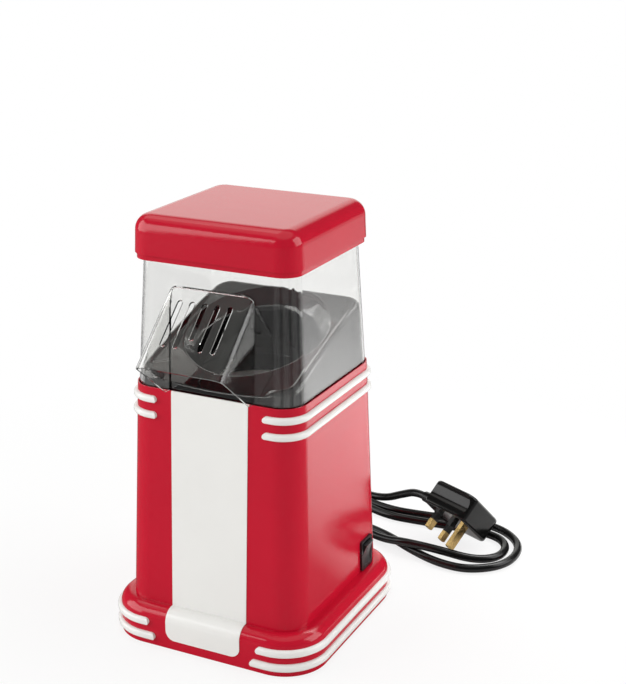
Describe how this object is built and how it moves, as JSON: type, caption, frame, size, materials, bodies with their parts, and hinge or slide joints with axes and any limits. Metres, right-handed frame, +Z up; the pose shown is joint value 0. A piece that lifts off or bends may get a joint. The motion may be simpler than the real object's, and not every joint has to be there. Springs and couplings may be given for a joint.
{
  "type": "popcorn maker",
  "caption": "Hot-air popcorn maker: tapered red tower with white stripe and trim, sloped black funnel collar, clear hopper with slotted chute, red cap, rocker switch, cord and plug.",
  "frame": {"origin": "on the table, under the middle of the footprint without the cord", "axes": "+Z up, front with the white stripe and the chute towards -Y, switch on the +X side"},
  "size_m": [0.309, 0.3753, 0.327],
  "materials": {
    "red_plastic": "gloss",
    "white_plastic": "gloss",
    "black_gloss": "high gloss",
    "black_plastic": "satin",
    "clear_plastic": "clear polished",
    "rubber": "satin",
    "steel": "plated",
    "sheet_steel": "galvanised",
    "chamber_metal": "drawn",
    "mica": "matte",
    "heater_wire": "oxidised",
    "magnet": "matte",
    "circuit_board": "satin",
    "nylon": "satin",
    "brass": "polished",
    "wire_cover": "satin"
  },
  "bodies": {
    "base": {"body_shell": "red_plastic", "plinth": "red_plastic", "front_panel": "white_plastic", "base_plate": "black_plastic", "rubber_feet": "rubber", "base_screws": "steel", "top_collar": "black_gloss", "collar_screws": "steel", "popping_chamber": "chamber_metal", "chamber_shroud": "sheet_steel", "heater_boards": "mica", "heater_coil": "heater_wire", "thermostat": "steel", "thermal_fuse": "steel", "fan_housing": "black_plastic", "housing_screws": "steel", "motor_can": "sheet_steel", "motor_screws": "steel", "motor_end_cap": "black_plastic", "motor_magnets": "magnet", "rectifier_board": "circuit_board", "rectifier_diodes": "black_plastic", "cord_strain_relief": "rubber", "inner_lead": "rubber", "terminal_block": "nylon", "cord_clamp": "nylon", "switch_housing": "black_plastic", "switch_tabs": "brass", "inner_wires": "wire_cover", "plug_base": "black_gloss", "plug_cover": "black_gloss", "plug_cord_guard": "rubber", "plug_earth_pin": "brass", "plug_power_pins": "brass", "plug_pin_sleeves": "black_plastic", "mains_cord": "rubber", "body_trim_left_lower": "white_plastic", "body_trim_left_upper": "white_plastic", "body_trim_right_lower": "white_plastic", "body_trim_right_upper": "white_plastic", "plinth_trim_left_lower": "white_plastic", "plinth_trim_left_upper": "white_plastic", "plinth_trim_right_lower": "white_plastic", "plinth_trim_right_upper": "white_plastic"},
    "hopper": {"hopper": "clear_plastic"},
    "lid": {"lid": "red_plastic"},
    "rocker": {"switch_rocker": "black_plastic"},
    "rotor": {"fan_impeller": "black_plastic", "motor_shaft": "steel", "motor_armature": "steel"}
  },
  "joints": [
    {"name": "hopper_lift", "type": "slide", "parent": "base", "child": "hopper", "axis": [0, 0, 1], "range_m": [0, 0.1]},
    {"name": "lid_lift", "type": "slide", "parent": "hopper", "child": "lid", "axis": [0, 0, 1], "range_m": [0, 0.032]},
    {"name": "rocker_tip", "type": "hinge", "parent": "base", "child": "rocker", "pos_m": [0.07113, 0.05532, 0.04424], "axis": [0, 1, 0], "range_deg": [-16, 0]},
    {"name": "fan_spin", "type": "hinge", "parent": "base", "child": "rotor", "pos_m": [0, 0.01482, 0.075], "axis": [0, 0, 1], "continuous": true}
  ]
}
